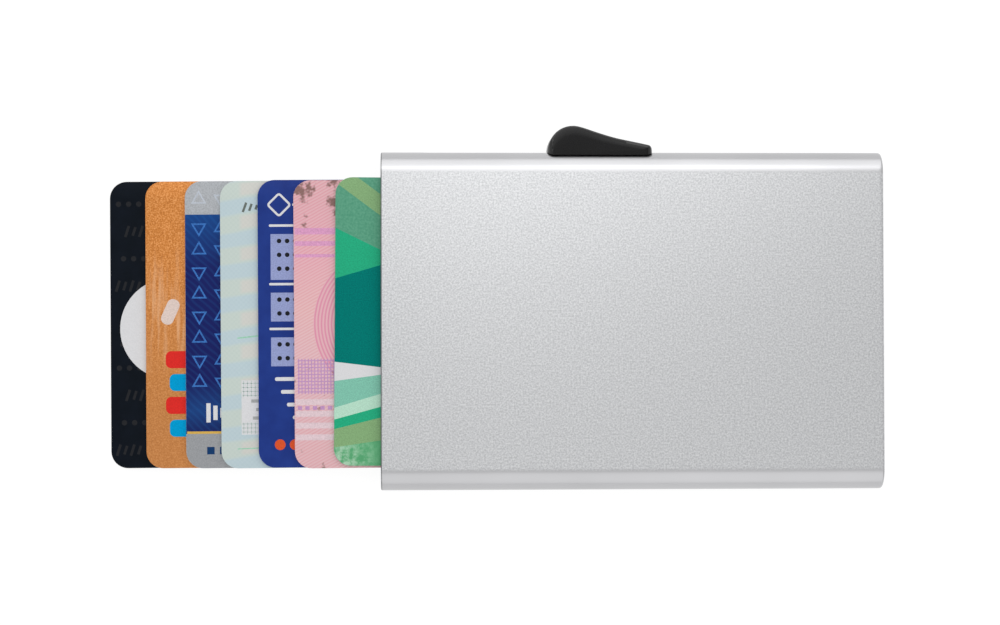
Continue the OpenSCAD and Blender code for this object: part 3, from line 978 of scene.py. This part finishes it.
def draw_pale(bm, ink):
    for bar in range(3):
        shape(bm, ink["grey"], 4.6 + 1.1 * bar, 49.0, 0.45, 1.9 - 0.5 * bar, turn=-20)
    shape(bm, ink["white"], 12.6, 11.4, 17.6, 10.2)
    for line in range(13):
        shape(bm, ink["sage"], 12.6, 6.8 + 0.76 * line, 17.4, 0.14, level=2)
    for line in range(24):
        shape(bm, ink["sage"], 4.2 + 0.72 * line, 11.4, 0.14, 10.0, level=2)
    shape(bm, ink["white"], 10, 11.0, 12.4, 4.8, level=3)
    for row, length in enumerate((5.2, 3.4, 4.6)):
        shape(bm, ink["mid_grey"], 8.2, 12.6 - 1.6 * row, length, 0.6, level=4)
    shape(bm, ink["green"], 22, 4.3, 38, 0.2, turn=2)
    shape(bm, ink["green"], 22, 26.4, 38, 0.26, turn=6)


make_card("pale", pale_face(), "#c4cec9", {"grey": ["#5f6660"], "white": white_ink, "sage": ["#abb9b5"],
    "mid_grey": ["#999b9a"], "green": ["#8cbda2"]}, draw_pale)

# %% [markdown]
# The blue card is laid out like a form: lavender boxes under white lines, with rows of dots
# in them, then four white lines and a row of orange discs.

# %% Blue card


def draw_blue(bm, ink):
    shape(bm, ink["white"], 4.0, 49.3, 3.4, 3.4, turn=45, corner=0.6, hollow=0.4)
    shape(bm, ink["white"], 9.0, 49.3, 5.0, 0.45)
    for top, rows in ((45.4, 3), (34.4, 2), (26.0, 2)):
        shape(bm, ink["white"], 6.6, top, 9.0, 0.45, corner=0.2)
        tall = 3.2 * rows - 1.0
        shape(bm, ink["lavender"], 18.4, top - 1.6 - tall / 2, 32.0, tall)
        for row in range(rows):
            for dot in range(7 - row):
                shape(bm, ink["black"], 4.0 + 1.5 * dot, top - 2.9 - 2.6 * row, 0.85, 0.85, sides=12,
                    level=2)
    for row in range(4):
        shape(bm, ink["white"], 8.6 + 0.4 * row, 16.6 - 2.4 * row, 11.0 - 1.4 * row, 0.7, corner=0.3)
    for dot in range(4):
        shape(bm, ink["orange"], 4.0 + 2.8 * dot, 4.3, 2.0, 2.0, sides=24)


blue_film = clouded_film("royal_blue_card_film", "blue", 0.3, 3.0, [(0.3, "#162c72"), (0.7, "#1b347d")])
make_card("blue", blue_film, "#2a3f87", {"white": white_ink, "lavender": ["#868fb8", 0.06],
    "black": ["#15171c"], "orange": ["#c64b24"]}, draw_blue)

# %% [markdown]
# The pink card is covered with fine lines, as if they were engraved. One wave texture draws
# them as waves and another as rings, both about half a millimetre apart, a little wider than
# real ones, which would be lost in the picture. Near the top the print is worn through in
# brown spots.

# %% Pink card


def pink_face():
    made, tree, shader = new_material("pink_card_film")
    where = in_mm(tree, "pink")
    height = add(tree, "SeparateXYZ", {"Vector": where}).outputs["Y"]
    level = add(tree, "MapRange", {"Value": height, "From Max": CARD_H})
    ground = add(tree, "ValToRGB", {"Fac": level},
        stops=[(0.1, "#cda6ac"), (0.3, "#cbabb4"), (0.55, "#d2a9ab"), (0.75, "#d19aa8"), (1, "#c89aa2")])
    leaning = add(tree, "Mapping", {"Vector": where, "Rotation": (0, 0, math.radians(62))})
    waves = add(tree, "TexWave", {"Vector": leaning, "Scale": 0.6, "Distortion": 1.5, "Detail": 1.0,
        "Detail Scale": 0.4})
    fine = add(tree, "ValToRGB", {"Fac": waves.outputs["Fac"]}, stops=[(0.2, "#ce8489"), (0.6, "#d6b5b5")])
    lined = add(tree, "Mix", {"Factor": 0.35, "A": ground, "B": fine}, data_type="RGBA")
    centre = add(tree, "Mapping", {"Vector": where, "Location": (-18.0, -27.0, 0), "Scale": (1, 1, 0)})
    rings = add(tree, "TexWave", {"Vector": centre, "Scale": 0.5, "Distortion": 0.6}, wave_type="RINGS",
        rings_direction="SPHERICAL")
    rosette = add(tree, "ValToRGB", {"Fac": rings.outputs["Fac"]},
        stops=[(0.3, "#d1a4ab"), (0.8, "#cb859b")])
    reach = add(tree, "VectorMath", {0: centre}, operation="LENGTH")
    inside = add(tree, "Math", {0: reach, 1: 14.4}, operation="LESS_THAN")
    drawn = add(tree, "Mix", {"Factor": inside, "A": lined, "B": rosette}, data_type="RGBA")
    spots = add(tree, "TexNoise", {"Vector": where, "Scale": 0.3, "Detail": 3.0, "Roughness": 0.62})
    near_top = add(tree, "MapRange", {"Value": height, "From Min": 43.0, "From Max": 52.0, "To Max": 0.14})
    worn = add(tree, "Math", {0: spots, 1: near_top}, operation="ADD")
    brown = add(tree, "MapRange", {"Value": worn, "From Min": 0.65, "From Max": 0.72, "To Max": 0.85})
    colour = add(tree, "Mix", {"Factor": brown, "A": drawn, "B": srgb("#6b5048")}, data_type="RGBA")
    film(tree, shader, where, colour)
    return made


def draw_pink(bm, ink):
    for row in range(3):
        shape(bm, ink["lilac"], CARD_L / 2, 44.4 - 2.3 * row, CARD_L - 0.4, 1.2 - 0.3 * row)
    for column in range(14):
        shape(bm, ink["purple"], 0.8 + 0.6 * column, 17.2, 0.2, 6.6, level=2)
    for row in range(10):
        shape(bm, ink["purple"], 4.7, 14.3 + 0.65 * row, 8.2, 0.2)
    for row in range(4):
        shape(bm, ink["pale_rose"], CARD_L / 2, 12.4 - 2.2 * row, CARD_L - 0.4, 1.1)
    for column in range(60):
        shape(bm, ink["purple"], 1.0 + 1.4 * column, 11.3, 0.8, 0.7, level=2)


make_card("pink", pink_face(), "#d1afb5", {"lilac": ["#c78eb1", 0.06], "purple": ["#af86b0"],
    "pale_rose": ["#cdb7bd"]}, draw_pink)

# %% [markdown]
# The green card is a set of broad slanting fields, from mint over leaf green to deep teal,
# with pale stripes below them. Each field is cut into the card's face. A pocket rubs a card
# at its corners first, so the lowest field goes cloudy towards its corner.

# %% Green card


def worn_corner_ink():
    """Grass green ink that is rubbed cloudy towards the card's lower left corner."""
    made, tree, shader = new_material("rubbed_grass_green_ink")
    where = in_mm(tree, "green")
    grain = add(tree, "TexNoise", {"Vector": where, "Scale": 0.9, "Detail": 4.0, "Roughness": 0.65})
    plain = add(tree, "ValToRGB", {"Fac": grain}, stops=[(0.3, "#4d9566"), (0.7, "#5ba575")])
    reach = add(tree, "VectorMath", {0: where}, operation="LENGTH")
    near = add(tree, "MapRange", {"Value": reach, "From Min": 9.0, "From Max": 1.5})
    patchy = add(tree, "MapRange", {"Value": grain, "From Min": 0.4, "From Max": 0.62, "To Max": 0.6})
    rubbed = add(tree, "Math", {0: near, 1: patchy}, operation="MULTIPLY")
    colour = add(tree, "Mix", {"Factor": rubbed, "A": plain, "B": srgb("#c4d6c6")}, data_type="RGBA")
    film(tree, shader, where, colour)
    return made


def draw_green(bm, ink):
    field(bm, ink["olive"], ((0, 53), (30, 31)), ((30, 35), (0, 57)))
    field(bm, ink["leaf_green"], ((30, 30), (0, 44.5)))
    field(bm, ink["teal"], ((30, 44), (0, 35)))
    field(bm, ink["white"], ((30, 16), (0, 19.4)))
    field(bm, ink["sea_green"], ((30, 20), (0, 15.8)))
    field(bm, ink["pale_green"], ((30, 20), (0, 10.8)))
    field(bm, ink["leaf_green"], ((30, 17), (0, 8.6)))
    field(bm, ink["olive"], ((30, 14.4), (0, 6.8)))
    field(bm, ink["grass"], ((30, 8), (0, 3.4)))


green_film = clouded_film("mint_card_film", "green", 2.4, 3.0, [(0.3, "#46876c"), (0.7, "#5a977c")])
make_card("green", green_film, "#6fae92", {"olive": ["#789c6d", 0.07], "teal": ["#006c65", 0.08, 0.03],
    "leaf_green": ["#1d9b72", 0.07], "white": white_ink, "sea_green": ["#74b09c", 0.06],
    "pale_green": ["#a6cab6"], "grass": worn_corner_ink()}, draw_green)

# %% [markdown]
# ## The felt pads
# Two thin pads of felt line the bay above and below the cards and hold them by friction.
# Felt is fibre matted by needles, so its surface is a tangle with soft lumps, its rim is
# rounded, and its loose fibre ends catch a faint sheen. Each pad starts as a finely divided
# slab, and a smooth noise then sinks its faces here and there.

# %% Felt
fibre_mm = 0.25
pad_rim = 0.12
lump_mm = 0.03


def needled_felt():
    made, tree, shader = new_material("needled_grey_felt")
    tangle = add(tree, "TexNoise", {"Vector": in_mm(tree), "Scale": 1 / fibre_mm, "Detail": 4.0,
        "Roughness": 0.7, "Distortion": 1.6})
    colour = add(tree, "ValToRGB", {"Fac": tangle},
        stops=[(0.3, "#1f2022"), (0.5, "#37373a"), (0.72, "#57575a")])
    bump = add(tree, "Bump", {"Height": tangle, "Strength": 0.7, "Distance": 0.06 * MM})
    fill(tree, shader, {"Base Color": colour, "Roughness": 0.95, "Normal": bump, "Specular IOR Level": 0.2,
        "Sheen Weight": 0.35, "Sheen Roughness": 0.5})
    return made


def make_pad(node):
    """A felt pad in the place of a CAD one. Its far side lies on the wall and stays flat."""
    low, high = box_mm(node)
    size = high - low
    centre = (low + high) / 2
    bm = sheet(size.x, size.y, 20, 96)
    extrude(bm, bm.faces[:], (0, 0, size.z))
    bmesh.ops.recalc_face_normals(bm, faces=bm.faces)
    rims = [e for e in bm.edges if e.is_manifold and e.calc_face_angle() > 1]
    round_off(bm, rims, "EDGES", pad_rim, 3)
    inward = -1 if centre.z > middle_z else 1
    for v in bm.verts:
        lump = lump_mm * (0.5 + 0.5 * noise.noise(v.co * 0.9))
        if (v.co.z - size.z / 2) * inward > size.z / 2 - pad_rim:
            v.co.z -= inward * lump
    bmesh.ops.translate(bm, vec=(centre.x, centre.y, low.z), verts=bm.verts)
    pad = piece(bm, node.replace("_pad", "_lining"), [felt], "sleeve", node)


felt = needled_felt()
for node in ("front_felt_pad", "back_felt_pad"):
    make_pad(node)

# %% [markdown]
# ## Parts inside
# The guides, the runner and the stepped pusher behind the cards are plain mouldings, and
# their CAD shapes are already right, so they only get a finish: glass-filled nylon, whose
# short fibres give a dull grain. The spring and the two pins are steel, drawn or rolled, so
# their grain is a fine streak along their length.

# %% Inner finishes
STREAKS_PER_M = (200, 9000, 9000)


def streaked_steel(name, turn):
    """Steel with fine streaks along one axis. The turn leads that axis onto X, in degrees round Z and Y."""
    made, tree, shader = new_material(name)
    place = add(tree, "TexCoord").outputs["Object"]
    turned = [math.radians(degrees) for degrees in turn]
    where = add(tree, "Mapping", {"Vector": place, "Rotation": turned})
    drawn = add(tree, "Mapping", {"Vector": where, "Scale": STREAKS_PER_M})
    streak = add(tree, "TexNoise", {"Vector": drawn, "Scale": 1.0, "Detail": 3.0})
    colour = add(tree, "ValToRGB", {"Fac": streak}, stops=[(0.3, "#a2a5a8"), (0.7, "#c6c8ca")])
    rough = add(tree, "MapRange", {"Value": streak, "To Min": 0.2, "To Max": 0.4})
    fill(tree, shader, {"Base Color": colour, "Roughness": rough, "Metallic": 1.0})
    return made


def finish_node(node, made):
    """Gives a CAD part's own object a finish."""
    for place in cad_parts[node].material_slots:
        place.material = made


nylon = black_moulding("glass_filled_nylon", "#26272a", "#303135", 0.45)
for node in ("upper_guide_strip", "lower_guide_rail", "slider_runner", "stepped_pusher"):
    finish_node(node, nylon)
finish_node("runner_spring", streaked_steel("rolled_spring_steel", (0, 0, 0)))
finish_node("pusher_pins", streaked_steel("drawn_steel_pin", (0, 90, 0)))
print("Finished:", [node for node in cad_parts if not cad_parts[node].hide_render])

# %% [markdown]
# ## Sizes
# The boxes of the CAD model and of the dressed one are printed side by side.

# %% Sizes
shown_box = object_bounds()
for label, box in (("CAD", cad_box), ("Shown", shown_box)):
    print(label, "size in mm:", [round(x / MM, 3) for x in box[1] - box[0]])
